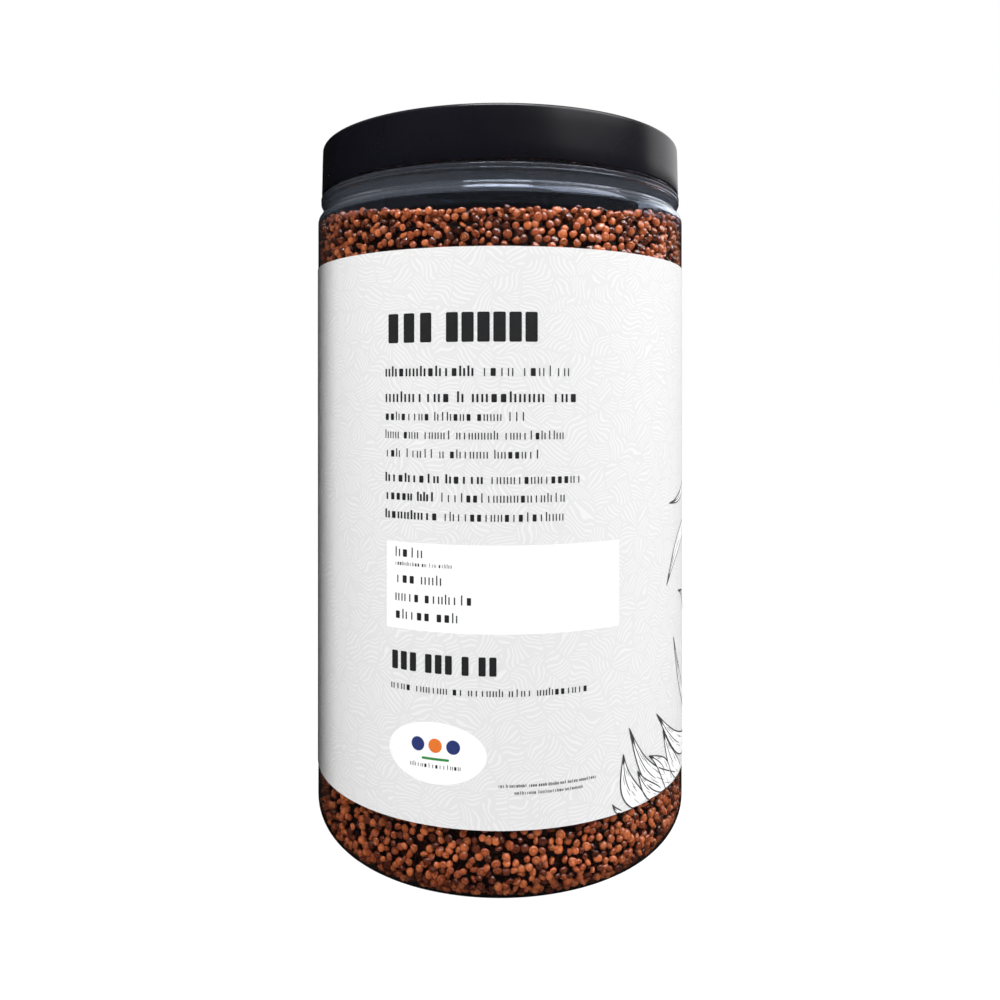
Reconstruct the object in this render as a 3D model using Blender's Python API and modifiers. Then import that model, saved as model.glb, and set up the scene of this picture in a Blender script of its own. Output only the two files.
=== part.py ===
"""A clear plastic jar of red quinoa with a black screw lid and a wrap-round paper label.

Every piece is turned about the Z axis. The jar stands on z = 0, centred on the origin.
Lengths are in metres.
"""

import math

import bpy

MM = 0.001

# Driving dimensions
BODY_RADIUS = 52.5 * MM
JAR_HEIGHT = 190.9 * MM
WALL = 0.8 * MM
GAP = 0.3 * MM
ROUND_STEPS = 56

# Base of the jar: a rounded heel, a flat ring to stand on and a hollow pushed up inside it
HEEL_RADIUS = 10.3 * MM
FOOT_OUTER = BODY_RADIUS - HEEL_RADIUS
FOOT_WIDTH = 3.0 * MM
PUSH_UP = 4.0 * MM

# Neck of the jar
SHOULDER_TOP = 174.2 * MM
SHOULDER_RADIUS = 3.0 * MM
GROOVE_RADIUS = 50.8 * MM
BEAD_RADIUS = 51.7 * MM
BEAD_BOTTOM = 174.5 * MM
BEAD_HEIGHT = 4.2 * MM
BEAD_ROUND = 0.9 * MM
NECK_RADIUS = 48.6 * MM
NECK_WALL = 1.2 * MM

# Lid
LID_TOP = 192.7 * MM
LID_HEIGHT = 13.5 * MM
LID_RADIUS = 51.5 * MM
LID_DRAFT = 0.3 * MM
LID_EDGE = 1.0 * MM
LID_PLATE = 1.4 * MM
LID_SKIRT = 1.3 * MM
LID_LIP = 0.4 * MM
LID_PANEL_RADIUS = 46.5 * MM
LID_PANEL_DEPTH = 0.4 * MM

# Label
LABEL_BOTTOM = 20.2 * MM
LABEL_TOP = 158.2 * MM
LABEL_GAP = 0.2 * MM
LABEL_THICKNESS = 0.25 * MM

# Grain. Its top is uneven, and lies a little higher towards the two sides than front and back.
FILL_LEVEL = 166.9 * MM
FILL_SIDE_RISE = 4.0 * MM
FILL_UNEVEN = 0.5 * MM
FILL_RINGS = 7


def arc(centre, radius, start, end, count):
    """Points (r, z) of an arc from the start angle to the end angle, in degrees from +r towards +z."""
    points = []
    for i in range(count + 1):
        angle = math.radians(start + (end - start) * i / count)
        points.append((centre[0] + radius * math.cos(angle), centre[1] + radius * math.sin(angle)))
    return points


def dome(rim, rise, level, count):
    """Points of a shallow hollow, from its rim in to the axis, where it is highest."""
    points = []
    for i in range(count + 1):
        share = 1 - i / count
        points.append((rim * share, level + rise * math.cos(share * math.pi / 2) ** 1.5))
    return points


def material(name, colour, roughness, transmission=0.0):
    """A plain Principled material."""
    made = bpy.data.materials.new(name)
    made.use_nodes = True
    shader = made.node_tree.nodes["Principled BSDF"]
    shader.inputs["Base Color"].default_value = (*colour, 1.0)
    shader.inputs["Roughness"].default_value = roughness
    shader.inputs["Metallic"].default_value = 0.0
    shader.inputs["Transmission Weight"].default_value = transmission
    return made


def turned(name, outline, finish, collection, closed=False):
    """An outline of (r, z) points turned about Z. Its outer side runs downwards."""
    mesh = bpy.data.meshes.new(name)
    edges = [(i, i + 1) for i in range(len(outline) - 1)]
    if closed:
        edges.append((len(outline) - 1, 0))
    mesh.from_pydata([(r, 0.0, z) for r, z in outline], edges, [])
    mesh.materials.append(finish)
    piece = bpy.data.objects.new(name, mesh)
    collection.objects.link(piece)
    screw = piece.modifiers.new("Turn", "SCREW")
    screw.axis = "Z"
    screw.angle = 2 * math.pi
    screw.steps = ROUND_STEPS
    screw.render_steps = ROUND_STEPS
    screw.use_merge_vertices = True
    screw.merge_threshold = 0.00001
    screw.use_smooth_shade = True
    return piece


def inner_base():
    """The inside of the jar's base, from the axis out to the top of the heel."""
    floor = dome(FOOT_OUTER - FOOT_WIDTH, PUSH_UP, WALL, 6)
    heel = arc((FOOT_OUTER, HEEL_RADIUS), HEEL_RADIUS - WALL, 270, 360, 6)
    return floor[::-1] + heel


def outer_base():
    """The outside of the jar's base, from the top of the heel in to the axis."""
    heel = arc((FOOT_OUTER, HEEL_RADIUS), HEEL_RADIUS, 0, -90, 6)
    return heel + dome(FOOT_OUTER - FOOT_WIDTH, PUSH_UP, 0.0, 6)


def make_jar(collection, finish):
    """The clear jar: base, body, shoulder, grooved bead and plain neck, open at the top."""
    bead_top = BEAD_BOTTOM + BEAD_HEIGHT
    shoulder_centre = (BODY_RADIUS - SHOULDER_RADIUS, SHOULDER_TOP - SHOULDER_RADIUS)
    rim_round = NECK_WALL / 2
    rim_centre = (NECK_RADIUS - rim_round, JAR_HEIGHT - rim_round)
    inside = inner_base() + arc(shoulder_centre, SHOULDER_RADIUS - WALL, 0, 60, 4)
    inside.append((NECK_RADIUS - NECK_WALL, BEAD_BOTTOM))
    rim = arc(rim_centre, rim_round, 180, 0, 4)
    bead_centre = BEAD_RADIUS - BEAD_ROUND
    neck = [(NECK_RADIUS, bead_top)]
    neck += arc((bead_centre, bead_top - BEAD_ROUND), BEAD_ROUND, 90, 0, 3)
    neck += arc((bead_centre, BEAD_BOTTOM + BEAD_ROUND), BEAD_ROUND, 0, -60, 3)
    shoulder = [(GROOVE_RADIUS, SHOULDER_TOP)]
    shoulder += arc(shoulder_centre, SHOULDER_RADIUS, 70, 0, 4)
    outline = inside + rim + neck + shoulder + outer_base()
    return turned("jar", outline, finish, collection)


def make_lid(collection, finish):
    """The black cap: a plate with a shallow sunk panel, a rounded edge and a slightly drafted skirt."""
    top_radius = LID_RADIUS - LID_DRAFT
    bottom = LID_TOP - LID_HEIGHT
    under = LID_TOP - LID_PLATE
    inner_radius = LID_RADIUS - LID_SKIRT
    lip_centre = (LID_RADIUS - LID_LIP, bottom + LID_LIP)
    outline = [(0.0, LID_TOP - LID_PANEL_DEPTH)]
    outline.append((LID_PANEL_RADIUS - LID_PANEL_DEPTH, LID_TOP - LID_PANEL_DEPTH))
    outline.append((LID_PANEL_RADIUS, LID_TOP))
    outline += arc((top_radius - LID_EDGE, LID_TOP - LID_EDGE), LID_EDGE, 90, 0, 5)
    outline += arc(lip_centre, LID_LIP, 0, -90, 2)
    outline.append((inner_radius, bottom))
    outline.append((inner_radius, under))
    outline.append((0.0, under))
    return turned("lid", outline, finish, collection)


def make_label(collection, finish):
    """The paper label, one band all the way round the straight part of the body."""
    inner = BODY_RADIUS + LABEL_GAP
    outer = inner + LABEL_THICKNESS
    outline = [(outer, LABEL_TOP), (outer, LABEL_BOTTOM), (inner, LABEL_BOTTOM), (inner, LABEL_TOP)]
    return turned("label", outline, finish, collection, closed=True)


def surface_height(x, y):
    """How far the top of the grain stands above or below its level at the middle."""
    side_rise = FILL_SIDE_RISE * (x / BODY_RADIUS) ** 2
    swell = math.sin(x / (13 * MM) + 0.6) * math.cos(y / (11 * MM) - 0.4)
    ripple = 0.4 * math.sin((x + y) / (7 * MM)) * math.cos((x - y) / (6 * MM) + 1.0)
    return side_rise + FILL_UNEVEN * (swell + ripple)


def make_grain(collection, finish):
    """The grain: one solid that fills the jar to its level, with an uneven top."""
    radius = BODY_RADIUS - WALL - GAP
    heel = HEEL_RADIUS - WALL - GAP
    outline = [(radius * i / FILL_RINGS, FILL_LEVEL) for i in range(FILL_RINGS + 1)]
    outline += arc((FOOT_OUTER, HEEL_RADIUS), heel, 0, -90, 5)
    outline += dome(FOOT_OUTER - FOOT_WIDTH, PUSH_UP, WALL + GAP, 6)
    shape = turned("grain_shape", outline, finish, collection)
    graph = bpy.context.evaluated_depsgraph_get()
    mesh = bpy.data.meshes.new_from_object(shape.evaluated_get(graph))
    bpy.data.objects.remove(shape)
    for vertex in mesh.vertices:
        if vertex.co.z > FILL_LEVEL - GAP:
            vertex.co.z += surface_height(vertex.co.x, vertex.co.y)
    mesh.name = "quinoa"
    piece = bpy.data.objects.new("quinoa", mesh)
    collection.objects.link(piece)
    return piece


def main():
    for old in list(bpy.data.objects):
        bpy.data.objects.remove(old)
    collection = bpy.data.collections.new("quinoa_jar")
    bpy.context.scene.collection.children.link(collection)
    clear = material("clear_plastic", (0.95, 0.97, 0.97), 0.05, transmission=1.0)
    black = material("black_plastic", (0.012, 0.012, 0.016), 0.35)
    paper = material("label_paper", (0.88, 0.88, 0.88), 0.5)
    seed = material("quinoa_seed", (0.30, 0.08, 0.025), 0.45)
    make_jar(collection, clear)
    make_lid(collection, black)
    make_label(collection, paper)
    make_grain(collection, seed)


main()
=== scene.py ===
"""The looks of a clear plastic jar of red quinoa with a black screw lid and a white wrap label.

Lengths are in metres. Sizes that the CAD fixes are read from the CAD parts in model.glb; the fine
shapes are set below.
"""

import math

import bpy
import numpy as np
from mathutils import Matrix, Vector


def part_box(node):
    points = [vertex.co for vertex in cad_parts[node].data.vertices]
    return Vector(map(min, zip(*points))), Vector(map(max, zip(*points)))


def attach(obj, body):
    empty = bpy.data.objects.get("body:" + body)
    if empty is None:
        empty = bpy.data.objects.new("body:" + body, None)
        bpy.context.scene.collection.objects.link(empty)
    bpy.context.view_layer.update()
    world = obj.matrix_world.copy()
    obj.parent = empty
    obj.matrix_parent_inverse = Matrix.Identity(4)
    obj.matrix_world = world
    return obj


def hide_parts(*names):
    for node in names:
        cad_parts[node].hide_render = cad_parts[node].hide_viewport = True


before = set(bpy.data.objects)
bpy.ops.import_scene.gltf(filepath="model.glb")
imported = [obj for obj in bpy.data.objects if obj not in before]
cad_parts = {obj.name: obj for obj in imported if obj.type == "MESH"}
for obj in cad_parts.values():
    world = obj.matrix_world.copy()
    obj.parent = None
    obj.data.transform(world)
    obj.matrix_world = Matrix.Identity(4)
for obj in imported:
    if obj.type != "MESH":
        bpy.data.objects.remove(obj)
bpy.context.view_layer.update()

MM = 0.001

# Places that the CAD fixes
_, JAR_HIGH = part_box("jar")
LID_LOW, LID_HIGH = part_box("lid")
LABEL_LOW, LABEL_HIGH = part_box("label")
BODY_RADIUS = JAR_HIGH.x
LID_RADIUS = LID_HIGH.x

# Camera: level, looking along +Y at a jar whose middle lies below it
CAMERA_DISTANCE = 262.5 * MM
CAMERA_HEIGHT = 123.4 * MM
CAMERA_LENS = 32.04
CAMERA_SHIFT = -0.1066

# Jar
WALL = 0.45 * MM
HEEL_RADIUS = 10.3 * MM
FOOT_OUTER = BODY_RADIUS - HEEL_RADIUS
FOOT_INNER = FOOT_OUTER - 3.0 * MM
PUSH_UP = 4.0 * MM
SHOULDER_RADIUS = 3.0 * MM
SHOULDER_LOW = 171.2 * MM
NECK_RADIUS = 48.6 * MM
NECK_WALL = 1.2 * MM
THROAT_FROM = 168.4 * MM
NECK_FROM = 171.3 * MM
ROUND_STEPS = 160

# Grain: its seeds, the layers they lie in and the level they reach
SEED_RADIUS = 1.03 * MM
SEED_SIZE_SPREAD = 0.09
SEED_SMALLEST = 0.80
SEED_LARGEST = 1.16
SEED_LUMPS = 0.055
SEED_REACH = 0.15 * MM
SEED_SPACING = 1.58 * MM
SEED_ROUGHNESS = 0.22
SEED_IOR = 2.0
DEEP_SPACING = 1.80 * MM
DEEP_LAYER = 1.25 * MM
CORE_DEPTH = 2.3 * MM
FILL_LEVEL = 167.5 * MM
FILL_SIDE_RISE = 4.6 * MM
FILL_UNEVEN = 0.5 * MM
BEHIND_LABEL = 3.5 * MM
# How many places are tried in each layer, before those too close to another are dropped
FRONT_TRIES = 90000
DEEP_TRIES = 60000
TOP_TRIES = 40000
# Each skin: the colour of a seed's face, the darker colour in its groove and round its edge, which is
# painted shade, and its gloss
SEED_SKINS = {
    "red": ((0.80, 0.205, 0.064), (0.06, 0.009, 0.003), 0.6),
    "brown": ((0.52, 0.112, 0.035), (0.035, 0.005, 0.002), 0.6),
    "dark": ((0.16, 0.030, 0.011), (0.014, 0.0025, 0.001), 0.6),
    # The deep seeds' near-black colour is painted shade for the gaps between the seeds in front
    "deep": ((0.022, 0.0035, 0.0012), (0.004, 0.0008, 0.0004), 0.15),
}
# Which part of the front seeds has each skin, between two shares of the whole
FRONT_SHARES = {"red": (0.0, 0.43), "brown": (0.43, 0.75), "dark": (0.75, 1.0)}

# Label
LABEL_GAP = 0.03 * MM
LABEL_THICKNESS = 0.12 * MM
LABEL_OVERLAP = 7.0 * MM
OVERLAP_RAMP = 1.0 * MM
OVERLAP_GAP = 0.03 * MM
LABEL_STEPS = 260
LABEL_RADIUS = BODY_RADIUS + LABEL_GAP + LABEL_THICKNESS
INK_LIFT = 0.03 * MM
LEAF_PEN = 0.34 * MM

# The label's ground: patches of short lines, which sway a little
PAPER_GROUND = (0.715, 0.715, 0.715)
PAPER_LINE = (0.790, 0.790, 0.790)
PATCHES_PER_METRE = 185.0
LINE_SPACING = 1.02 * MM
SWAY_SCALE = 210.0
SWAY_REACH = 4.0 * MM
LINES_FADE_FROM = 0.09
LINES_FADE_TO = 0.02

# The label's print, in mm: along the label from its middle, and up from the floor
PANELS = [(-29.1, 77.0, 31.0, 21.0)]
OVAL_MIDDLE = (-15.7, 37.6)
OVAL_SIZE = (25.2, 14.8)
DOT_SIZE = 3.4
DOT_HEIGHT = 39.4
NAVY_DOTS = (-20.2, -11.2)
ORANGE_DOT = -15.7
GREEN_LINE = (-19.2, 36.2, -12.2, 0.6)
# For each kind of print: the width of its upright strokes and whether each letter is one solid block
PRINT_KINDS = {
    "heading": (2.95, True),
    "weight": (1.70, True),
    "bold": (0.50, False),
    "thin": (0.29, False),
    "box": (0.34, False),
    "tiny": (0.15, False),
    "number": (0.18, False),
}
# Each row: its kind, its foot, its tall strokes' height, its start and end, and its words' lengths
PRINT_ROWS = [
    ("heading", 135.6, 7.1, -29.4, -15.9, (3,)),
    ("heading", 135.6, 7.1, -13.4, 9.4, (6,)),
    ("bold", 127.5, 2.5, -29.7, -5.9, (12,)),
    ("thin", 127.5, 2.5, -4.6, 17.3, (4, 6)),
    ("bold", 121.3, 2.6, -29.7, 19.1, (8, 1, 8, 3)),
    ("thin", 116.9, 2.1, -29.7, 6.4, (8, 6, 4, 3)),
    ("thin", 112.5, 2.1, -29.7, 15.7, (3, 3, 5, 7, 10)),
    ("thin", 108.0, 2.1, -29.7, 9.8, (3, 5, 1, 6, 7)),
    ("bold", 102.0, 2.2, -29.7, -3.7, (8, 5)),
    ("thin", 102.0, 2.2, -2.6, 20.2, (14,)),
    ("bold", 97.6, 2.2, -29.7, -15.6, (5, 3)),
    ("thin", 97.6, 2.2, -14.7, 16.0, (19,)),
    ("bold", 93.1, 2.2, -29.7, -14.9, (8,)),
    ("thin", 93.1, 2.2, -13.9, 15.7, (18,)),
    ("box", 83.9, 2.4, -26.7, -18.6, (4,)),
    ("tiny", 81.8, 1.0, -26.7, -11.4, (10, 2, 3, 5)),
    ("box", 77.6, 2.4, -26.7, -13.7, (3, 3)),
    ("box", 73.2, 2.4, -26.7, -6.4, (4, 7)),
    ("box", 68.9, 2.4, -26.7, -9.7, (5, 3)),
    ("weight", 56.6, 4.5, -27.9, -0.4, (3, 3, 1, 2)),
    ("thin", 51.8, 1.8, -27.9, 21.8, (4, 6, 2, 6, 4, 9)),
    ("number", 34.0, 1.1, -22.4, -9.2, (14,)),
    ("tiny", 30.4, 0.8, -0.5, 24.1, (3, 1, 8, 4, 4, 5, 3, 5, 9)),
    ("tiny", 28.7, 0.8, 3.4, 20.4, (9, 11, 8)),
]
# In a row: the shares of letters that are tall, of one stroke and of two strokes; the rest are blocks
TALL_SHARE = 0.28
ONE_STROKE_SHARE = 0.28
TWO_STROKE_SHARE = 0.50
SMALL_HEIGHT = 0.76
WORD_GAP = 0.6
# Each leaf: the middle of its foot, its tip, how far it bends, its half width, and its shading lines
LEAVES = [
    ((31.5, 20.3), (28.9, 22.9), 0.1, 0.6, 0),
    ((96.0, 20.3), (88.0, 44.0), -0.10, 3.0, 7),
    ((108.0, 20.3), (104.0, 37.0), 0.10, 2.8, 6),
    ((86.0, 20.3), (75.0, 48.0), 0.12, 3.2, 8),
    ((73.0, 62.0), (61.0, 70.0), -0.12, 1.4, 3),
    ((69.5, 87.0), (51.3, 73.2), -0.10, 2.5, 5),
    ((69.0, 98.5), (53.0, 94.5), 0.08, 1.2, 3),
    ((72.0, 36.0), (56.3, 58.5), 0.08, 1.8, 5),
    ((74.0, 25.0), (45.6, 41.2), 0.10, 3.4, 7),
    ((62.0, 20.3), (49.0, 36.0), 0.08, 3.0, 6),
    ((56.0, 20.3), (34.4, 40.4), 0.15, 3.4, 9),
    ((53.0, 20.3), (42.0, 31.5), -0.10, 2.8, 6),
    ((46.5, 20.3), (37.4, 29.0), 0.10, 2.4, 5),
    ((39.0, 20.3), (32.4, 34.4), 0.14, 3.2, 8),
]

# Clear plastic
CLEAR = (0.97, 0.98, 0.985)
FAINT_BLUE = (0.78, 0.86, 1.0)
MIRRORED_BY_BODY = (1.0, 1.0, 1.0)
MIRRORED_BY_NECK = (0.31, 0.35, 0.46)

# Stage: the floor, the card that shades the jar's left edge, and the white surround
FLOOR_SIZE = 6.0
FLOOR_COLOUR = (0.55, 0.55, 0.55)
FLOOR_GLOW_SHARE = 0.8
FLOOR_GLOW = 1.26
FLAG_X = -60 * MM
FLAG_FRONT = -34.5 * MM
FLAG_BACK = 60 * MM
FLAG_HEIGHT = 260 * MM
WORLD_LIGHT = 0.07
WORLD_MIRRORED = 0.012
CEILING_MIRRORED = 0.35
CEILING_FROM = 0.40
CEILING_FULL = 0.80
NECK = (0.0, 0.0, 0.172)
LOW_ON_JAR = (0.0, 0.0, 0.04)


# ---------------------------------------------------------------- mesh helpers


def add_mesh(name, points, faces, finish, body="root"):
    """A smooth-shaded piece from points and a list of faces, riding on a body."""
    mesh = bpy.data.meshes.new(name)
    mesh.from_pydata(points, [], faces)
    mesh.materials.append(finish)
    mesh.shade_smooth()
    piece = bpy.data.objects.new(name, mesh)
    bpy.context.scene.collection.objects.link(piece)
    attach(piece, body)
    return piece


def arc(centre, radius, start, end, count):
    """Points (r, z) of an arc from the start angle to the end angle, in degrees from +r towards +z."""
    angles = np.radians(np.linspace(start, end, count + 1))
    return [(centre[0] + radius * math.cos(a), centre[1] + radius * math.sin(a)) for a in angles]


def dome(rim, rise, level, count):
    """Points of a shallow hollow from its rim in to the axis, where it is highest."""
    shares = np.linspace(1, 0, count + 1)
    return [(rim * s, level + rise * math.cos(s * math.pi / 2) ** 1.5) for s in shares]


def turned(name, outline, finish, steps=ROUND_STEPS):
    """An outline of (r, z) points turned about Z. Its outer side runs downwards."""
    points = []
    rings = []
    for r, z in outline:
        if r < 1e-7:
            rings.append([len(points)])
            points.append((0.0, 0.0, z))
            continue
        rings.append(list(range(len(points), len(points) + steps)))
        for i in range(steps):
            angle = 2 * math.pi * i / steps
            points.append((r * math.cos(angle), r * math.sin(angle), z))
    faces = []
    for upper, lower in zip(rings, rings[1:]):
        for i in range(steps):
            j = (i + 1) % steps
            if len(upper) == 1:
                faces.append((upper[0], lower[i], lower[j]))
            elif len(lower) == 1:
                faces.append((upper[j], upper[i], lower[0]))
            else:
                faces.append((upper[j], upper[i], lower[i], lower[j]))
    return add_mesh(name, points, faces, finish)


# ---------------------------------------------------------------- materials


class Nodes:
    """A material's node tree, with short calls to add nodes and link them."""

    def __init__(self, name):
        self.material = bpy.data.materials.new(name)
        self.material.use_nodes = True
        self.tree = self.material.node_tree
        self.shader = self.tree.nodes["Principled BSDF"]

    def add(self, kind, **settings):
        """A new node of a kind, with its settings."""
        node = self.tree.nodes.new(kind)
        for key, value in settings.items():
            setattr(node, key, value)
        return node

    def link(self, source, target):
        """Feeds an output to an input."""
        self.tree.links.new(source, target)

    def noise(self, scale, detail=2.0):
        """Noise through the piece, from 0 to 1."""
        place = self.add("ShaderNodeTexCoord")
        noise = self.add("ShaderNodeTexNoise")
        noise.inputs["Scale"].default_value = scale
        noise.inputs["Detail"].default_value = detail
        self.link(place.outputs["Object"], noise.inputs["Vector"])
        return noise.outputs["Fac"]

    def ramp(self, source, stops):
        """A colour ramp of (position, colour) stops, fed by source."""
        node = self.add("ShaderNodeValToRGB")
        elements = node.color_ramp.elements
        while len(elements) < len(stops):
            elements.new(0.5)
        for element, (position, colour) in zip(elements, stops):
            element.position = position
            element.color = (*colour, 1.0)
        self.link(source, node.inputs["Fac"])
        return node.outputs["Color"]

    def spread(self, source, low, high):
        """A number that follows source, from low at 0.3 to high at 0.7."""
        node = self.add("ShaderNodeMapRange")
        node.inputs["From Min"].default_value = 0.3
        node.inputs["From Max"].default_value = 0.7
        node.inputs["To Min"].default_value = low
        node.inputs["To Max"].default_value = high
        self.link(source, node.inputs["Value"])
        return node.outputs["Result"]

    def bump(self, source, strength, distance):
        """A fine relief of the surface that follows source."""
        node = self.add("ShaderNodeBump")
        node.inputs["Strength"].default_value = strength
        node.inputs["Distance"].default_value = distance
        self.link(source, node.inputs["Height"])
        self.link(node.outputs["Normal"], self.shader.inputs["Normal"])


def clear_plastic(name, colour, clearness, mirrored):
    """Clear PET: slightly wavy, and it lets the lamps' light through to what is inside.

    What clearness leaves out of 1 is a thin haze of scuffs and dust; mirrored tints its reflections.
    """
    nodes = Nodes(name)
    shader = nodes.shader
    shader.inputs["Base Color"].default_value = (*colour, 1.0)
    shader.inputs["Roughness"].default_value = 0.03
    shader.inputs["IOR"].default_value = 1.5
    shader.inputs["Transmission Weight"].default_value = clearness
    shader.inputs["Specular Tint"].default_value = (*mirrored, 1.0)
    nodes.bump(nodes.noise(90.0), 0.05, 0.4 * MM)
    clear = nodes.add("ShaderNodeBsdfTransparent")
    clear.inputs["Color"].default_value = (0.97, 0.98, 0.98, 1.0)
    path = nodes.add("ShaderNodeLightPath")
    mix = nodes.add("ShaderNodeMixShader")
    output = nodes.tree.nodes["Material Output"]
    nodes.link(path.outputs["Is Shadow Ray"], mix.inputs["Fac"])
    nodes.link(shader.outputs["BSDF"], mix.inputs[1])
    nodes.link(clear.outputs["BSDF"], mix.inputs[2])
    nodes.link(mix.outputs["Shader"], output.inputs["Surface"])
    return nodes.material


def black_plastic():
    """Satin black moulded plastic with a fine grain and faint handling marks."""
    nodes = Nodes("black_plastic")
    shader = nodes.shader
    darker = (0.0036, 0.0036, 0.0062)
    lighter = (0.0052, 0.0052, 0.0086)
    colour = nodes.ramp(nodes.noise(60.0, 3.0), [(0.3, darker), (0.7, lighter)])
    nodes.link(colour, shader.inputs["Base Color"])
    shader.inputs["Specular IOR Level"].default_value = 0.4
    nodes.link(nodes.spread(nodes.noise(35.0, 4.0), 0.24, 0.30), shader.inputs["Roughness"])
    nodes.bump(nodes.noise(2600.0), 0.05, 0.05 * MM)
    return nodes.material


def seed_skin(name, face, edge, shine):
    """A dry seed's skin: its colour varies from seed to seed, with painted shade that darkens it into
    the groove by the rim and round its edge.

    The value that make_seeds puts in each point is the painted shade of its ring plus a random level
    for the seed: 0 gives the edge's colour and 1 the face's.
    """
    nodes = Nodes(name)
    shader = nodes.shader
    shade_and_tone = nodes.add("ShaderNodeAttribute", attribute_name="shade_and_tone")
    own = nodes.ramp(shade_and_tone.outputs["Fac"], [(0.0, edge), (1.0, face)])
    specks = (0.72, 0.66, 0.62)
    mottle = nodes.ramp(nodes.noise(1400.0), [(0.32, specks), (0.62, (1.0, 1.0, 1.0))])
    blend = nodes.add("ShaderNodeMix", data_type="RGBA", blend_type="MULTIPLY")
    blend.inputs["Factor"].default_value = 1.0
    nodes.link(own, blend.inputs["A"])
    nodes.link(mottle, blend.inputs["B"])
    nodes.link(blend.outputs["Result"], shader.inputs["Base Color"])
    shader.inputs["Roughness"].default_value = SEED_ROUGHNESS
    shader.inputs["IOR"].default_value = SEED_IOR
    shader.inputs["Specular IOR Level"].default_value = shine
    return nodes.material


def core_painted_shade():
    """Painted shade: a near-black colour for the seeds deep in the heap, seen only through the gaps
    between those in front.
    """
    nodes = Nodes("quinoa_core_painted_shade")
    darker = (0.003, 0.001, 0.0007)
    lighter = (0.02, 0.004, 0.0015)
    colour = nodes.ramp(nodes.noise(700.0), [(0.35, darker), (0.7, lighter)])
    nodes.link(colour, nodes.shader.inputs["Base Color"])
    nodes.shader.inputs["Roughness"].default_value = 0.6
    nodes.bump(nodes.noise(900.0), 0.6, 0.5 * MM)
    return nodes.material


def label_paper():
    """Coated white paper with a faint ground of short wavy lines, which turn from patch to patch."""
    nodes = Nodes("label_paper")
    place = nodes.add("ShaderNodeUVMap", uv_map="around")
    sway = nodes.add("ShaderNodeTexNoise")
    sway.inputs["Scale"].default_value = SWAY_SCALE
    sway.inputs["Detail"].default_value = 0.0
    nodes.link(place.outputs["UV"], sway.inputs["Vector"])
    shift = nodes.add("ShaderNodeVectorMath", operation="MULTIPLY_ADD")
    shift.inputs[1].default_value = (SWAY_REACH, SWAY_REACH, 0.0)
    nodes.link(sway.outputs["Color"], shift.inputs[0])
    nodes.link(place.outputs["UV"], shift.inputs[2])

    patches = nodes.add("ShaderNodeTexVoronoi", voronoi_dimensions="2D")
    patches.inputs["Scale"].default_value = PATCHES_PER_METRE
    nodes.link(shift.outputs["Vector"], patches.inputs["Vector"])
    edges = nodes.add("ShaderNodeTexVoronoi", voronoi_dimensions="2D", feature="DISTANCE_TO_EDGE")
    edges.inputs["Scale"].default_value = PATCHES_PER_METRE
    nodes.link(shift.outputs["Vector"], edges.inputs["Vector"])
    turn = nodes.add("ShaderNodeMath", operation="MULTIPLY")
    turn.inputs[1].default_value = math.pi
    nodes.link(patches.outputs["Color"], turn.inputs[0])
    turned_place = nodes.add("ShaderNodeVectorRotate", rotation_type="Z_AXIS")
    nodes.link(shift.outputs["Vector"], turned_place.inputs["Vector"])
    nodes.link(turn.outputs["Value"], turned_place.inputs["Angle"])
    across = nodes.add("ShaderNodeSeparateXYZ")
    nodes.link(turned_place.outputs["Vector"], across.inputs["Vector"])
    phase = nodes.add("ShaderNodeMath", operation="MULTIPLY")
    phase.inputs[1].default_value = 2 * math.pi / LINE_SPACING
    nodes.link(across.outputs["X"], phase.inputs[0])
    wave = nodes.add("ShaderNodeMath", operation="SINE")
    nodes.link(phase.outputs["Value"], wave.inputs[0])
    ends = nodes.add("ShaderNodeMapRange")
    ends.inputs["From Min"].default_value = LINES_FADE_TO
    ends.inputs["From Max"].default_value = LINES_FADE_FROM
    nodes.link(edges.outputs["Distance"], ends.inputs["Value"])
    lines = nodes.add("ShaderNodeMath", operation="MULTIPLY")
    nodes.link(wave.outputs["Value"], lines.inputs[0])
    nodes.link(ends.outputs["Result"], lines.inputs[1])
    colour = nodes.ramp(lines.outputs["Value"], [(0.2, PAPER_GROUND), (0.65, PAPER_LINE)])
    nodes.link(colour, nodes.shader.inputs["Base Color"])
    nodes.shader.inputs["Roughness"].default_value = 0.5
    nodes.shader.inputs["Specular IOR Level"].default_value = 0.3
    nodes.bump(nodes.noise(1500.0, 3.0), 0.05, 0.05 * MM)
    return nodes.material


def ink(name, colour):
    """Printed ink: nearly even, with the slight mottle of a real print."""
    nodes = Nodes(name)
    lighter = tuple(c * 1.03 + 0.002 for c in colour)
    mottle = nodes.ramp(nodes.noise(900.0), [(0.35, colour), (0.7, lighter)])
    nodes.link(mottle, nodes.shader.inputs["Base Color"])
    nodes.shader.inputs["Roughness"].default_value = 0.45
    nodes.shader.inputs["Specular IOR Level"].default_value = 0.3
    return nodes.material


# ---------------------------------------------------------------- jar and lid


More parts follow.
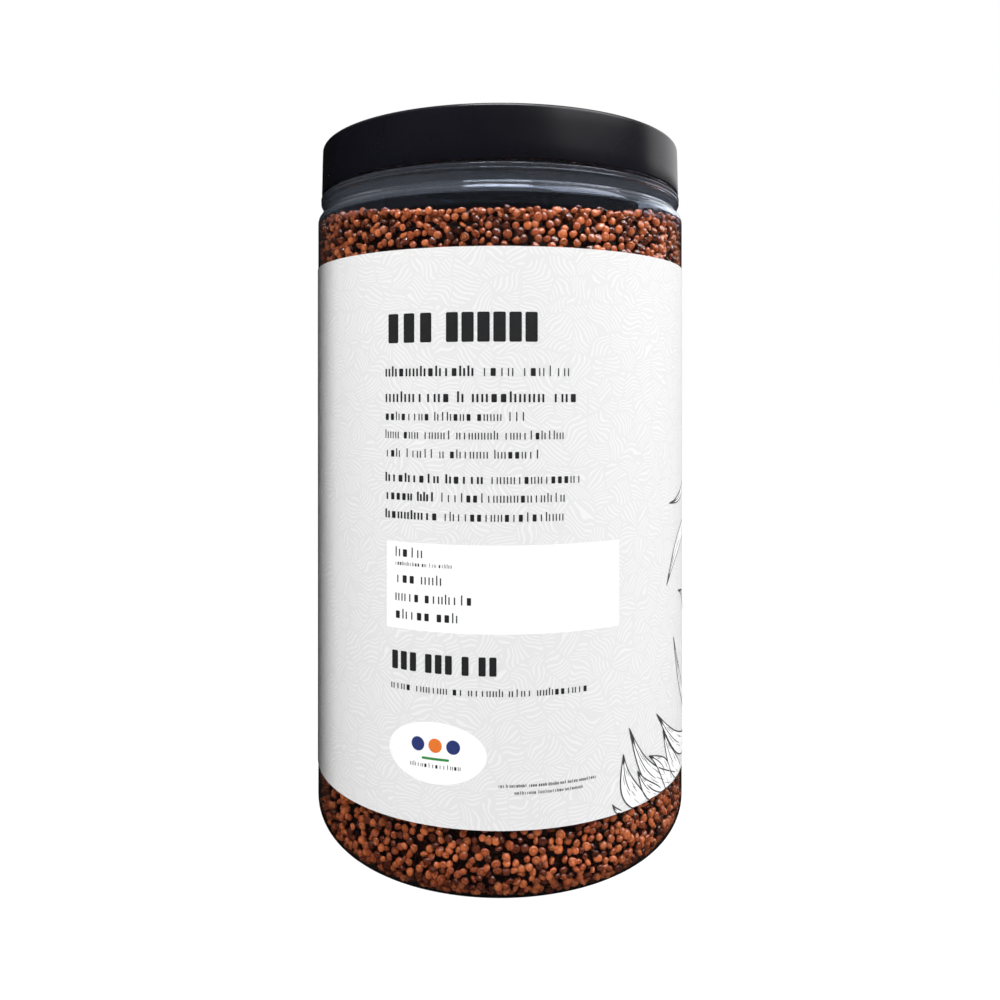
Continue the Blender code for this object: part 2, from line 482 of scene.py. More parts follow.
def make_jar(finishes):
    """The clear jar's wall, a closed shell from its base's middle up inside, over the rim and down.

    Its three finishes are those of the body, of the throat above the grain and of the thick neck.
    """
    shoulder = (BODY_RADIUS - SHOULDER_RADIUS, SHOULDER_LOW)
    heel = (FOOT_OUTER, HEEL_RADIUS)
    rim = NECK_WALL / 2
    # Up the inside: the base, the heel, the wall, the shoulder and the slope into the neck
    outline = dome(FOOT_INNER, PUSH_UP, WALL, 14)[::-1]
    outline += arc(heel, HEEL_RADIUS - WALL, 270, 360, 16)
    outline += [(BODY_RADIUS - WALL, THROAT_FROM)]
    outline += arc(shoulder, SHOULDER_RADIUS - WALL, 0, 50, 8)
    outline += [(49.9 * MM, 174.3 * MM), (48.9 * MM, 175.8 * MM), (48.0 * MM, 177.4 * MM)]
    outline += [(NECK_RADIUS - NECK_WALL, 179.5 * MM)]
    # Over the rim and down the neck to the fillet at its foot
    outline += arc((NECK_RADIUS - rim, JAR_HIGH.z - rim), rim, 180, 0, 8)
    outline += arc((NECK_RADIUS + 0.5 * MM, 179.0 * MM), 0.5 * MM, 180, 270, 5)
    # Two rounded beads, one below the other, and the groove under them
    outline += arc((51.22 * MM, 178.0 * MM), 0.48 * MM, 90, -25, 7)
    outline += [(51.5 * MM, 177.55 * MM)]
    outline += arc((51.25 * MM, 176.95 * MM), 0.42 * MM, 45, -80, 7)
    outline += arc((51.55 * MM, 176.25 * MM), 0.3 * MM, 110, 180, 4)
    outline += [(51.15 * MM, 175.6 * MM), (51.0 * MM, 174.9 * MM)]
    outline += arc((51.1 * MM, 174.45 * MM), 0.35 * MM, 165, 235, 5)
    # Down the outside: the shoulder, the wall, the heel and the hollow base
    outline += arc(shoulder, SHOULDER_RADIUS, 62, 0, 12)
    outline += [(BODY_RADIUS, THROAT_FROM)]
    outline += arc(heel, HEEL_RADIUS, 0, -90, 16)
    outline += dome(FOOT_INNER, PUSH_UP, 0.0, 14)
    piece = turned("jar_wall", outline, finishes[0])
    piece.data.materials.append(finishes[1])
    piece.data.materials.append(finishes[2])
    for face in piece.data.polygons:
        face.material_index = int(face.center.z > THROAT_FROM) + int(face.center.z > NECK_FROM)
    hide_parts("jar")


def make_lid(finish):
    """The black cap with its rounded top edge, its shallow sunk panel and its skirt."""
    top = LID_HIGH.z
    low = LID_LOW.z
    upper = LID_RADIUS - 0.3 * MM
    edge = 1.0 * MM
    lip = 0.35 * MM
    panel = 46.5 * MM
    step = 0.4 * MM
    skirt = LID_RADIUS - 1.3 * MM
    under = top - 1.4 * MM
    outline = [(0.0, top - step), (20.0 * MM, top - step), (40.0 * MM, top - step)]
    outline += arc((panel - 2 * step, top), step, 270, 360, 3)[1:-1]
    outline += arc((panel + 0.2 * MM, top - 0.3 * MM), 0.3 * MM, 160, 90, 4)
    outline += arc((upper - edge, top - edge), edge, 90, 0, 8)
    outline += [(upper + 0.1 * MM, top - 4.0 * MM), (LID_RADIUS - 0.1 * MM, low + 4.0 * MM)]
    outline += arc((LID_RADIUS - lip, low + lip), lip, 0, -90, 5)
    outline += [(skirt + 0.3 * MM, low), (skirt, low + 0.3 * MM)]
    outline += [(skirt, under - 0.5 * MM), (skirt - 0.5 * MM, under), (20.0 * MM, under), (0.0, under)]
    piece = turned("lid_cap", outline, finish)
    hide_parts("lid")


# ---------------------------------------------------------------- grain


def fill_height(x, y):
    """The height of the grain's uneven top, which lies a little higher towards the two sides."""
    side_rise = FILL_SIDE_RISE * (x / BODY_RADIUS) ** 2
    swell = np.sin(x / (13 * MM) + 0.6) * np.cos(y / (11 * MM) - 0.4)
    ripple = 0.4 * np.sin((x + y) / (7 * MM)) * np.cos((x - y) / (6 * MM) + 1.0)
    return FILL_LEVEL + side_rise + FILL_UNEVEN * (swell + ripple)


def wall_profile():
    """The inside of the jar's wall from the middle of its base to its shoulder, as (r, z) points."""
    points = dome(FOOT_INNER, PUSH_UP, WALL, 40)[::-1]
    points += arc((FOOT_OUTER, HEEL_RADIUS), HEEL_RADIUS - WALL, 270, 360, 40)
    straight = np.linspace(HEEL_RADIUS, SHOULDER_LOW, 400)[1:-1]
    points += [(BODY_RADIUS - WALL, z) for z in straight]
    points += arc((BODY_RADIUS - SHOULDER_RADIUS, SHOULDER_LOW), SHOULDER_RADIUS - WALL, 0, 35, 8)
    return np.array(points)


def wall_sites(count, rng):
    """Random places spread evenly over the wall's inside, and the outward direction at each."""
    profile = wall_profile()
    steps = np.diff(profile, axis=0)
    lengths = np.linalg.norm(steps, axis=1)
    middles = (profile[1:] + profile[:-1]) / 2
    areas = lengths * middles[:, 0]
    pick = rng.choice(len(areas), size=count, p=areas / areas.sum())
    along = rng.random(count)[:, None]
    place = profile[pick] + steps[pick] * along
    outward = np.stack([steps[pick, 1], -steps[pick, 0]], axis=1) / lengths[pick, None]
    angle = rng.random(count) * 2 * math.pi
    around = np.stack([np.cos(angle), np.sin(angle)], axis=1)
    sites = np.concatenate([around * place[:, :1], place[:, 1:]], axis=1)
    normals = np.concatenate([around * outward[:, :1], outward[:, 1:]], axis=1)
    level = fill_height(sites[:, 0], sites[:, 1])
    shown = (sites[:, 2] < LABEL_LOW.z + BEHIND_LABEL) | (sites[:, 2] > LABEL_HIGH.z - BEHIND_LABEL)
    keep = shown & (sites[:, 2] < level - 0.4 * MM)
    return sites[keep], normals[keep]


def top_sites(count, rng):
    """Random places spread evenly over the grain's top, with the upward direction at each."""
    radius = (BODY_RADIUS - WALL - 0.8 * MM) * np.sqrt(rng.random(count))
    angle = rng.random(count) * 2 * math.pi
    x = radius * np.cos(angle)
    y = radius * np.sin(angle)
    sites = np.stack([x, y, fill_height(x, y)], axis=1)
    normals = np.zeros_like(sites)
    normals[:, 2] = 1.0
    return sites, normals


def thin_out(sites, normals, spacing):
    """Drops every site closer than spacing to one kept before it."""
    cells = {}
    kept = []
    keys = np.floor(sites / spacing).astype(int)
    near = [(i, j, k) for i in (-1, 0, 1) for j in (-1, 0, 1) for k in (-1, 0, 1)]
    limit = spacing * spacing
    for n, (key, site) in enumerate(zip(map(tuple, keys), sites.tolist())):
        clear = True
        for i, j, k in near:
            for other in cells.get((key[0] + i, key[1] + j, key[2] + k), ()):
                gap = (other[0] - site[0]) ** 2 + (other[1] - site[1]) ** 2 + (other[2] - site[2]) ** 2
                if gap < limit:
                    clear = False
                    break
            if not clear:
                break
        if clear:
            cells.setdefault(key, []).append(site)
            kept.append(n)
    return sites[kept], normals[kept]


def seed_shape(profile, segments):
    """One seed as a lens with a raised rim: unit points, triangles and each point's painted shade."""
    points = []
    ring_shades = []
    rings = []
    for r, z, shade_and_tone in profile:
        if r == 0:
            rings.append([len(points)])
            points.append((0.0, 0.0, z))
            ring_shades.append(shade_and_tone)
            continue
        rings.append(list(range(len(points), len(points) + segments)))
        for i in range(segments):
            angle = 2 * math.pi * i / segments
            beak = 1 + 0.10 * math.exp(-((angle - math.pi) / 0.4) ** 2) * r
            points.append((r * beak * math.cos(angle), r * beak * math.sin(angle), z))
            ring_shades.append(shade_and_tone)
    triangles = []
    for upper, lower in zip(rings, rings[1:]):
        for i in range(segments):
            j = (i + 1) % segments
            if len(upper) == 1:
                triangles.append((upper[0], lower[i], lower[j]))
            elif len(lower) == 1:
                triangles.append((upper[j], upper[i], lower[0]))
            else:
                triangles.append((upper[j], upper[i], lower[i]))
                triangles.append((upper[j], lower[i], lower[j]))
    return np.array(points), np.array(triangles), np.array(ring_shades)


# Each ring of a seed: its radius and height in seed radii, and its painted shade, lowest in the groove
# and round the edge
FINE_SEED = seed_shape(
    [
        (0.0, 0.52, 0.85),
        (0.40, 0.51, 1.0),
        (0.66, 0.37, 0.40),
        (0.84, 0.37, 1.0),
        (1.0, 0.08, 0.60),
        (0.93, -0.25, 0.45),
        (0.62, -0.48, 0.80),
        (0.0, -0.54, 0.95),
    ],
    9,
)
PLAIN_SEED = seed_shape(
    [
        (0.0, 0.52, 0.9),
        (0.62, 0.42, 0.7),
        (1.0, 0.0, 0.5),
        (0.62, -0.44, 0.7),
        (0.0, -0.52, 0.9),
    ],
    8,
)


def random_turns(normals, tilt, rng):
    """Rotation matrices that lay each seed's flat face to its normal, tilted by about tilt radians."""
    count = len(normals)
    lean = np.abs(rng.normal(0, tilt, count))
    helper = np.where(np.abs(normals[:, 2:]) < 0.9, [[0.0, 0.0, 1.0]], [[1.0, 0.0, 0.0]])
    side = np.cross(normals, helper)
    side /= np.linalg.norm(side, axis=1, keepdims=True)
    other = np.cross(normals, side)
    way = rng.random(count)[:, None] * 2 * math.pi
    level = side * np.cos(way) + other * np.sin(way)
    flip = rng.choice([-1.0, 1.0], count)[:, None]
    axis = (normals * np.cos(lean)[:, None] + level * np.sin(lean)[:, None]) * flip
    spin = rng.random(count)[:, None] * 2 * math.pi
    first = np.cross(axis, np.cross(level, axis) + side * 0.3)
    first /= np.linalg.norm(first, axis=1, keepdims=True)
    second = np.cross(axis, first)
    across = first * np.cos(spin) + second * np.sin(spin)
    return np.stack([across, np.cross(axis, across), axis], axis=2)


def make_seeds(name, sites, normals, shape, finish, rng, tilt, depth):
    """A piece of many seeds. Each one's outermost point lies depth below its site along its normal."""
    unit, triangles, ring_shades = shape
    count = len(sites)
    size = rng.normal(1.0, SEED_SIZE_SPREAD, (count, 1)).clip(SEED_SMALLEST, SEED_LARGEST) * SEED_RADIUS
    length = size * rng.uniform(0.94, 1.04, (count, 1))
    thickness = size * rng.uniform(0.92, 1.22, (count, 1))
    stretch = np.concatenate([length, size, thickness], axis=1)
    turns = random_turns(normals, tilt, rng)
    ways = rng.normal(0, 2.4, (count, 3, 3))
    phases = rng.random((count, 1, 3)) * 2 * math.pi
    lumps = 1 + SEED_LUMPS * np.sin(np.einsum("nki,pi->npk", ways, unit) + phases).sum(axis=2)
    shaped = unit[None, :, :] * stretch[:, None, :] * lumps[:, :, None]
    placed = np.einsum("nij,npj->npi", turns, shaped)
    reach = np.einsum("npi,ni->np", placed, normals).max(axis=1)
    sunk = depth * rng.random(count) ** 1.5
    centres = sites + normals * (SEED_REACH - reach - sunk)[:, None]
    points = (placed + centres[:, None, :]).reshape(-1, 3)
    starts = np.arange(count) * len(unit)
    faces = (triangles[None, :, :] + starts[:, None, None]).reshape(-1, 3)
    piece = add_mesh(name, points.tolist(), faces.tolist(), finish)
    # Each point's value is its ring's painted shade plus a random level for its seed
    own = rng.normal(0.0, 0.16, (count, 1))
    shade_and_tone = (ring_shades[None, :] * 0.75 + 0.2 + own).clip(0, 1).reshape(-1).astype(np.float32)
    piece.data.attributes.new("shade_and_tone", "FLOAT", "POINT").data.foreach_set("value", shade_and_tone)


def make_core(finish):
    """The heap's inside, whose near-black colour is painted shade that shows as depth between the
    seeds.
    """
    profile = wall_profile()
    steps = np.gradient(profile, axis=0)
    steps /= np.linalg.norm(steps, axis=1, keepdims=True)
    inner = profile - np.stack([steps[:, 1], -steps[:, 0]], axis=1) * CORE_DEPTH
    inner = inner[(inner[:, 0] > 0.3 * MM) & (inner[:, 1] < FILL_LEVEL - CORE_DEPTH)]
    side = [tuple(p) for p in inner[::12]][::-1]
    level = FILL_LEVEL - CORE_DEPTH
    rings = np.linspace(0, side[0][0], 14)[:-1]
    outline = [(r, level) for r in rings] + side + [(0.0, side[-1][1])]
    piece = turned("quinoa_core", outline, finish, steps=96)
    for vertex in piece.data.vertices:
        if vertex.co.z > level - 0.1 * MM:
            vertex.co.z = fill_height(vertex.co.x, vertex.co.y) - CORE_DEPTH
    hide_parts("quinoa")


def make_grain():
    """The heap: a core and a deep layer of plain seeds, both near-black with painted shade, plain seeds
    on top, and finer ones in three colours.
    """
    rng = np.random.default_rng(11)
    skins = {kind: seed_skin("seed_" + kind, *looks) for kind, looks in SEED_SKINS.items()}
    make_core(core_painted_shade())

    sites, normals = thin_out(*wall_sites(FRONT_TRIES, rng), SEED_SPACING)
    share = rng.random(len(sites))
    for kind, (low, high) in FRONT_SHARES.items():
        own = (share >= low) & (share < high)
        name = "quinoa_seeds_" + kind
        front = (name, sites[own], normals[own], FINE_SEED, skins[kind], rng)
        make_seeds(*front, tilt=0.75, depth=0.8 * MM)

    sites, normals = thin_out(*wall_sites(DEEP_TRIES, rng), DEEP_SPACING)
    deep = ("quinoa_seeds_deep", sites - normals * DEEP_LAYER, normals, PLAIN_SEED, skins["deep"], rng)
    make_seeds(*deep, tilt=0.9, depth=0.5 * MM)

    sites, normals = thin_out(*top_sites(TOP_TRIES, rng), SEED_SPACING)
    top = ("quinoa_seeds_top", sites, normals, PLAIN_SEED, skins["red"], rng)
    make_seeds(*top, tilt=0.6, depth=0.6 * MM)


# ---------------------------------------------------------------- label


def on_label(u, v, lift=0.0):
    """The point of the label at u metres right of its middle and v metres above the floor."""
    angle = u / LABEL_RADIUS
    radius = LABEL_RADIUS + lift
    return (radius * math.sin(angle), -radius * math.cos(angle), v)


def make_label(finish):
    """The label: one paper band, whose end laps over its start at the back."""
    around = 2 * math.pi * LABEL_RADIUS
    length = around + LABEL_OVERLAP
    low = LABEL_LOW.z
    high = LABEL_HIGH.z
    points = []
    for i in range(LABEL_STEPS + 1):
        s = length * i / LABEL_STEPS
        u = s - around / 2
        over = min(1.0, max(0.0, (s - around + OVERLAP_RAMP) / OVERLAP_RAMP))
        lift = over * (LABEL_THICKNESS + OVERLAP_GAP)
        for v in (low, high):
            points.append(on_label(u, v, lift))
            points.append(on_label(u, v, lift - LABEL_THICKNESS))
    faces = []
    for i in range(LABEL_STEPS):
        a = 4 * i
        b = a + 4
        faces.append((a, b, b + 2, a + 2))
        faces.append((a + 1, a + 3, b + 3, b + 1))
        faces.append((a, a + 1, b + 1, b))
        faces.append((a + 2, b + 2, b + 3, a + 3))
    faces.append((0, 2, 3, 1))
    last = 4 * LABEL_STEPS
    faces.append((last, last + 1, last + 3, last + 2))
    piece = add_mesh("label_band", points, faces, finish)
    piece.data.set_sharp_from_angle(angle=math.radians(40))
    layer = piece.data.uv_layers.new(name="around")
    for loop in piece.data.loops:
        column, corner = divmod(loop.vertex_index, 4)
        layer.data[loop.index].uv = (length * column / LABEL_STEPS, high if corner > 1 else low)
    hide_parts("label")


class Print:
    """Flat shapes printed on the label, gathered into one piece."""

    def __init__(self, name, finish, lift=INK_LIFT):
        self.name = name
        self.finish = finish
        self.lift = lift
        self.points = []
        self.faces = []

    def strip(self, lower, upper):
        """A filled band between two rows of (u, v) points of the same length."""
        start = len(self.points)
        for (u0, v0), (u1, v1) in zip(lower, upper):
            self.points.append(on_label(u0, v0, self.lift))
            self.points.append(on_label(u1, v1, self.lift))
        for i in range(len(lower) - 1):
            a = start + 2 * i
            self.faces.append((a, a + 2, a + 3, a + 1))

    def bar(self, left, middle, right, height, corner=0.3 * MM):
        """A bar with rounded ends, centred on the height called middle."""
        half = height / 2
        corner = min(corner, half, (right - left) / 2)
        us = list(left + corner - corner * np.cos(np.radians([0, 30, 60, 90])))
        flat = max(1, int((right - left) / (1.5 * MM)))
        us += list(np.linspace(left + corner, right - corner, flat + 1))[1:-1]
        us += list(right - corner + corner * np.cos(np.radians([90, 60, 30, 0])))
        lower = []
        upper = []
        for u in us:
            inset = max(0.0, left + corner - u, u - (right - corner))
            drop = corner - math.sqrt(max(0.0, corner * corner - inset * inset))
            lower.append((u, middle - half + drop))
            upper.append((u, middle + half - drop))
        self.strip(lower, upper)

    def oval(self, cu, cv, width, height):
        """A filled ellipse."""
        angles = np.radians(np.linspace(180, 0, 41))
        lower = [(cu + width / 2 * math.cos(a), cv - height / 2 * math.sin(a)) for a in angles]
        upper = [(cu + width / 2 * math.cos(a), cv + height / 2 * math.sin(a)) for a in angles]
        self.strip(lower, upper)

    def stroke(self, path, width, tip=0.25):
        """A pen stroke along (u, v) points that thins towards both ends."""
        path = np.array(path)
        ways = np.gradient(path, axis=0)
        ways /= np.linalg.norm(ways, axis=1, keepdims=True).clip(1e-9)
        sides = np.stack([-ways[:, 1], ways[:, 0]], axis=1)
        share = np.linspace(0, 1, len(path))
        half = width / 2 * (tip + (1 - tip) * np.sin(share * math.pi) ** 0.6)
        self.strip((path - sides * half[:, None]).tolist(), (path + sides * half[:, None]).tolist())

    def block(self, left, low, right, high):
        """A small upright block with slightly cut corners."""
        cut = min(0.12 * (right - left), 0.25 * MM)
        lower = [(left, low + cut), (left + cut, low), (right - cut, low), (right, low + cut)]
        upper = [(left, high - cut), (left + cut, high), (right - cut, high), (right, high - cut)]
        self.strip(lower, upper)

    def make_piece(self):
        """The piece with every shape printed so far."""
        add_mesh(self.name, self.points, self.faces, self.finish)


def leaf(drawing, fills, base, tip, bend, width, hatch):
    """One pointed leaf, open at its foot: a white ground, two edges, a midrib and shading lines."""
    base = np.array(base) * MM
    tip = np.array(tip) * MM
    way = tip - base
    side = np.array([-way[1], way[0]])
    across = side / np.linalg.norm(side)
    share = np.linspace(0, 1, 25)[:, None]
    spine = base + way * share + side * bend * np.sin(share * math.pi)
    swell = (1 - share) ** 0.8 * (0.7 + 0.55 * np.sin(share * math.pi))
    left = spine + across * width * MM * swell
    right = spine - across * width * MM * swell
    floor = LABEL_LOW.z + 0.1 * MM
    for edge in (left, right, spine):
        edge[:, 1] = edge[:, 1].clip(floor)
    fills.strip(right.tolist(), left.tolist())
    drawing.stroke(left, LEAF_PEN, 0.7)
    drawing.stroke(right, LEAF_PEN, 0.7)
    drawing.stroke(spine[9:25], LEAF_PEN * 0.8, 0.5)
    drawing.stroke(spine[20:25], width * MM * 0.22, 0.3)
    for i in range(hatch):
        start = 1 + (i * 7) % 15
        depth = 0.15 + 0.7 * ((i * 5) % 7) / 7
        target = right if i % 3 else left
        inner = spine[start : start + 5] * (1 - depth) + target[start : start + 5] * depth
        drawing.stroke(inner, LEAF_PEN * 0.4)


def print_row(sheet, kind, foot, height, left, right, words, rng):
    """One row of print. Upright strokes stand in for its letters: the rhythm of text, but no text."""
    pen, solid = PRINT_KINDS[kind]
    step = (right - left) / (sum(words) + WORD_GAP * (len(words) - 1))
    small = height * SMALL_HEIGHT
    u = left
    for word in words:
        for _ in range(word):
            tall = solid or rng.random() < TALL_SHARE
            first = height if tall else small
            pick = rng.random()
            if solid:
                strokes = [(0.5, pen, height)]
            elif pick < ONE_STROKE_SHARE:
                strokes = [(0.45, pen, first)]
            elif pick < ONE_STROKE_SHARE + TWO_STROKE_SHARE:
                strokes = [(0.2, pen, first), (0.68, pen, small)]
            else:
                strokes = [(0.45, 0.58 * step, small)]
            for share, width, rise in strokes:
                middle = u + share * step
                low = foot * MM
                sheet.block((middle - width / 2) * MM, low, (middle + width / 2) * MM, low + rise * MM)
            u += step
        u += step * WORD_GAP


def make_print():
    """The label's print as plain shapes: rows that spell nothing, a made-up mark and drawn leaves."""
    white = Print("label_panels", ink("ink_white", (0.91, 0.91, 0.91)), INK_LIFT * 0.6)
    for left, middle, right, height in PANELS:
        white.bar(left * MM, middle * MM, right * MM, height * MM, corner=0.2 * MM)
    white.oval(OVAL_MIDDLE[0] * MM, OVAL_MIDDLE[1] * MM, OVAL_SIZE[0] * MM, OVAL_SIZE[1] * MM)

    black = Print("label_print", ink("ink_black", (0.017, 0.017, 0.018)), INK_LIFT)
    rng = np.random.default_rng(5)
    for kind, foot, height, left, right, words in PRINT_ROWS:
        print_row(black, kind, foot, height, left, right, words, rng)
    black.make_piece()

    drawing = Print("label_leaves", ink("ink_drawing", (0.05, 0.05, 0.052)), INK_LIFT)
    for i, (base, tip, bend, width, hatch) in enumerate(LEAVES):
        white.lift = INK_LIFT * (0.6 + 0.25 * i)
        drawing.lift = INK_LIFT * (0.7 + 0.25 * i)
        leaf(drawing, white, base, tip, bend, width, hatch)
    white.make_piece()
    drawing.make_piece()
    make_mark()


def make_mark():
    """A made-up mark for the oval: an orange dot between two navy ones, over a short green line."""
    navy = Print("label_mark_navy", ink("ink_navy", (0.020, 0.035, 0.16)), INK_LIFT)
    for u in NAVY_DOTS:
        navy.oval(u * MM, DOT_HEIGHT * MM, DOT_SIZE * MM, DOT_SIZE * MM)
    navy.make_piece()
    green = Print("label_mark_green", ink("ink_green", (0.03, 0.25, 0.05)), INK_LIFT)
    left, middle, right, height = GREEN_LINE
    green.bar(left * MM, middle * MM, right * MM, height * MM)
    green.make_piece()
    orange = Print("label_mark_orange", ink("ink_orange", (0.75, 0.17, 0.02)), INK_LIFT)
    orange.oval(ORANGE_DOT * MM, DOT_HEIGHT * MM, DOT_SIZE * MM, DOT_SIZE * MM)
    orange.make_piece()


# ---------------------------------------------------------------- stage


def ray_kinds(tree):
    """Two factors: 1 for what the camera sees directly, and 1 for what lights a matt surface."""
    path = tree.nodes.new("ShaderNodeLightPath")
    lighting = tree.nodes.new("ShaderNodeMath")
    lighting.operation = "MINIMUM"
    lighting.inputs[1].default_value = 1.0
    tree.links.new(path.outputs["Diffuse Depth"], lighting.inputs[0])
    return path.outputs["Is Camera Ray"], lighting.outputs["Value"]


def flat_card(name, corners):
    """One flat face with four corners."""
    mesh = bpy.data.meshes.new(name)
    mesh.from_pydata(corners, [], [(0, 1, 2, 3)])
    card = bpy.data.objects.new(name, mesh)
    bpy.context.scene.collection.objects.link(card)
    return card


def make_floor():
    """A pale floor, lit from above, that stays out of the plastic's reflections."""
    size = FLOOR_SIZE
    floor = flat_card("floor", [(-size, -size, 0), (size, -size, 0), (size, size, 0), (-size, size, 0)])
    nodes = Nodes("floor_white")
    nodes.shader.inputs["Base Color"].default_value = (*FLOOR_COLOUR, 1.0)
    nodes.shader.inputs["Roughness"].default_value = 0.9
    nodes.shader.inputs["Specular IOR Level"].default_value = 0.0
    camera, lighting = ray_kinds(nodes.tree)
    pale = nodes.add("ShaderNodeMath", operation="MAXIMUM")
    nodes.link(camera, pale.inputs[0])
    nodes.link(lighting, pale.inputs[1])
    dark = nodes.add("ShaderNodeBsdfDiffuse")
    dark.inputs["Color"].default_value = (0.01, 0.01, 0.01, 1.0)
    glow = nodes.add("ShaderNodeEmission")
    lit = nodes.add("ShaderNodeMixShader")
    whole = nodes.add("ShaderNodeMixShader")
    share = nodes.add("ShaderNodeMath", operation="MULTIPLY")
    share.inputs[1].default_value = FLOOR_GLOW_SHARE
    glow.inputs["Strength"].default_value = FLOOR_GLOW
    nodes.link(camera, share.inputs[0])
    nodes.link(pale.outputs["Value"], lit.inputs["Fac"])
    nodes.link(dark.outputs["BSDF"], lit.inputs[1])
    nodes.link(nodes.shader.outputs["BSDF"], lit.inputs[2])
    nodes.link(share.outputs["Value"], whole.inputs["Fac"])
    nodes.link(lit.outputs["Shader"], whole.inputs[1])
    nodes.link(glow.outputs["Emission"], whole.inputs[2])
    nodes.link(whole.outputs["Shader"], nodes.tree.nodes["Material Output"].inputs["Surface"])
    floor.data.materials.append(nodes.material)


def make_flag():
    """A grey card beside the jar, which the camera doesn't see and which shades the jar's left edge."""
    low = [(FLAG_X, FLAG_FRONT, 0.0), (FLAG_X, FLAG_BACK, 0.0)]
    high = [(FLAG_X, FLAG_BACK, FLAG_HEIGHT), (FLAG_X, FLAG_FRONT, FLAG_HEIGHT)]
    flag = flat_card("flag", low + high)
    nodes = Nodes("flag_grey")
    nodes.shader.inputs["Base Color"].default_value = (0.12, 0.12, 0.12, 1.0)
    nodes.shader.inputs["Roughness"].default_value = 0.9
    flag.data.materials.append(nodes.material)
    flag.visible_camera = False
    unmirrored(flag)


def make_world():
    """A white surround for the camera, much dimmer as a light and dimmer still in reflections."""
    world = bpy.data.worlds.new("studio")
    bpy.context.scene.world = world
    world.use_nodes = True
    tree = world.node_tree
    camera, lighting = ray_kinds(tree)
    way = tree.nodes.new("ShaderNodeTexCoord")
    split = tree.nodes.new("ShaderNodeSeparateXYZ")
    tree.links.new(way.outputs["Generated"], split.inputs["Vector"])
    ceiling = tree.nodes.new("ShaderNodeMapRange")
    ceiling.inputs["From Min"].default_value = CEILING_FROM
    ceiling.inputs["From Max"].default_value = CEILING_FULL
    ceiling.inputs["To Min"].default_value = WORLD_MIRRORED
    ceiling.inputs["To Max"].default_value = CEILING_MIRRORED
    tree.links.new(split.outputs["Z"], ceiling.inputs["Value"])
    light = tree.nodes.new("ShaderNodeMapRange")
    light.inputs["To Max"].default_value = WORLD_LIGHT
    tree.links.new(lighting, light.inputs["Value"])
    tree.links.new(ceiling.outputs["Result"], light.inputs["To Min"])
    shown = tree.nodes.new("ShaderNodeMath")
    shown.operation = "MAXIMUM"
    tree.links.new(camera, shown.inputs[0])
    tree.links.new(light.outputs["Result"], shown.inputs[1])
    background = tree.nodes["Background"]
    background.inputs["Color"].default_value = (1, 1, 1, 1)
    tree.links.new(shown.outputs["Value"], background.inputs["Strength"])


def aim(lamp, place, target):
    """Puts a lamp at a place and points it at the target."""
    way = [t - p for t, p in zip(target, place)]
    lamp.location = place
    flat = math.hypot(way[0], way[1])
    lamp.rotation_euler = (math.atan2(flat, -way[2]), 0.0, math.atan2(-way[0], way[1]))
    bpy.context.scene.collection.objects.link(lamp)


def add_area(name, azimuth, elevation, distance, width, height, light_at_jar, target=(0.0, 0.0, 0.1)):
    """A softbox, turned from the camera's side towards +X by the azimuth. Its light is in W/m2."""
    light = bpy.data.lights.new(name, "AREA")
    light.shape = "RECTANGLE"
    light.size = width
    light.size_y = height
    light.energy = light_at_jar * math.pi * distance**2
    flat = distance * math.cos(math.radians(elevation))
    x = target[0] + flat * math.sin(math.radians(azimuth))
    y = target[1] - flat * math.cos(math.radians(azimuth))
    z = target[2] + distance * math.sin(math.radians(elevation))
    lamp = bpy.data.objects.new(name, light)
    aim(lamp, (x, y, z), target)
    return lamp


def add_sun(name, place, strength, spread):
    """A very soft light from above."""
    light = bpy.data.lights.new(name, "SUN")
    light.energy = strength
    light.angle = math.radians(spread)
    lamp = bpy.data.objects.new(name, light)
    aim(lamp, place, (0.0, 0.0, 0.0))
    return lamp


def unmirrored(thing):
    """Keeps a lamp or a card out of every reflection, and out of what shows through clear plastic."""
    thing.visible_glossy = False
    thing.visible_transmission = False


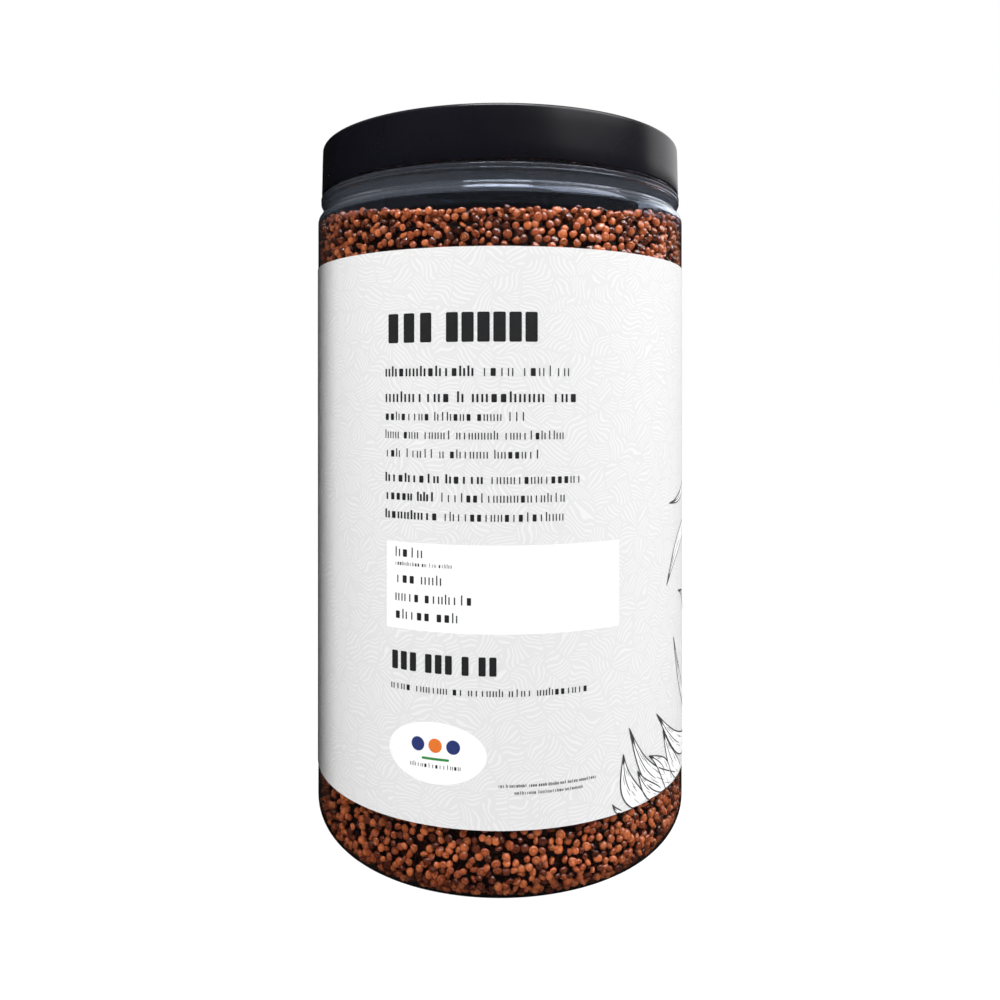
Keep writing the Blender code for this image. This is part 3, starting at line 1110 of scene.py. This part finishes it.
def make_stage():
    """The floor, the white surround, the lamps and the camera."""
    make_floor()
    make_flag()
    make_world()
    make_lamps()
    make_camera()


def make_lamps():
    """Lamps that light the whole jar, then lamps for the highlights on its seeds, neck and lid.

    Each area lamp's numbers are its azimuth, elevation, distance, width, height and light.
    """
    unmirrored(add_sun("overhead", (0.1, -0.15, 1.0), 0.75, 80))
    add_area("key", 60, 50, 0.9, 0.74, 0.64, 2.68)
    unmirrored(add_area("fill", -54, 38, 0.9, 0.60, 0.40, 2.5))
    unmirrored(add_area("low_front", 4, 3, 0.9, 0.50, 0.14, 0.48, LOW_ON_JAR))
    unmirrored(add_area("right_side", 88, 14, 0.9, 0.40, 0.40, 1.0))
    glints = add_area("top_front", -2, 67, 0.5, 0.26, 0.26, 2.7, NECK)
    glints.data.shape = "ELLIPSE"
    glints.visible_diffuse = False
    add_area("right_card", 130, 24, 0.6, 0.60, 0.23, 0.42, NECK)
    card = add_area("neck_card", 112, 19, 0.6, 0.50, 0.13, 0.8, NECK)
    card.visible_diffuse = False
    card.visible_glossy = False


def make_camera():
    """The camera, level, with the scene's colours shown as they are."""
    bpy.context.scene.view_settings.view_transform = "Standard"
    lens = bpy.data.cameras.new("camera")
    lens.lens = CAMERA_LENS
    lens.sensor_width = 36.0
    lens.shift_y = CAMERA_SHIFT
    lens.clip_start = 0.01
    lens.clip_end = 20.0
    camera = bpy.data.objects.new("camera", lens)
    camera.location = (0.0, -CAMERA_DISTANCE, CAMERA_HEIGHT)
    camera.rotation_euler = (math.radians(90), 0.0, 0.0)
    bpy.context.scene.collection.objects.link(camera)
    bpy.context.scene.camera = camera


def main():
    make_stage()
    body = clear_plastic("clear_plastic", CLEAR, 1.0, MIRRORED_BY_BODY)
    throat = clear_plastic("clear_plastic_throat", FAINT_BLUE, 0.995, MIRRORED_BY_NECK)
    neck = clear_plastic("clear_plastic_neck", FAINT_BLUE, 0.974, MIRRORED_BY_NECK)
    make_jar([body, throat, neck])
    make_lid(black_plastic())
    make_label(label_paper())
    make_print()
    make_grain()


main()
